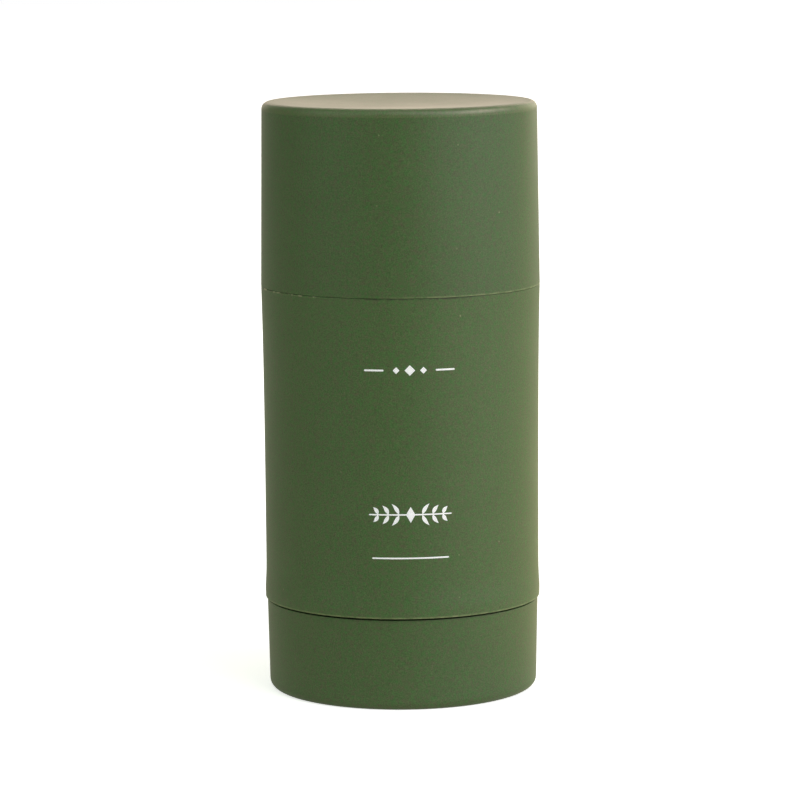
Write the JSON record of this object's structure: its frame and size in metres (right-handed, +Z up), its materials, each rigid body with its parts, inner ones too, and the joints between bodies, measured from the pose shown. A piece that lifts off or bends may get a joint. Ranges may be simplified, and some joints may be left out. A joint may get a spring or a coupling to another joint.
{
  "type": "twist-up deodorant stick tube",
  "caption": "Round twist-up stick tube with a pull-off cap, double-walled barrel, twist base, screw and lifting platform; empty.",
  "frame": {"origin": "centre of the foot ring that the pack stands on", "axes": "+Z up along the pack's axis, towards the cap; -Y is the front, where the pack's print would face"},
  "size_m": [0.046, 0.046, 0.0974],
  "materials": {
    "shell_green": "fine matt moulded surface, olive green, solid colour",
    "inner_white": "natural white polypropylene, satin",
    "screw_white": "white acetal, smooth",
    "seal_rubber": "black silicone rubber, matt"
  },
  "bodies": {
    "barrel": {"barrel_shell": "shell_green", "product_tube": "inner_white"},
    "cap": {"cap_shell": "shell_green", "cap_liner": "inner_white"},
    "base": {"base_shell": "shell_green", "base_hub": "inner_white", "lift_screw": "screw_white", "screw_seal": "seal_rubber"},
    "platform": {"platform": "inner_white"}
  },
  "joints": [
    {"name": "cap_lift", "type": "slide", "parent": "barrel", "child": "cap", "axis": [0, 0, 1], "range_m": [0, 0.04]},
    {"name": "base_twist", "type": "hinge", "parent": "barrel", "child": "base", "pos_m": [0, 0, 0], "axis": [0, 0, 1], "range_deg": [0, 3600]},
    {"name": "platform_lift", "type": "slide", "parent": "barrel", "child": "platform", "axis": [0, 0, 1], "range_m": [0, 0.05]}
  ],
  "couplings": [
    {"joint": "platform_lift", "follows": "base_twist", "m_per_rad": 0.00079577}
  ]
}
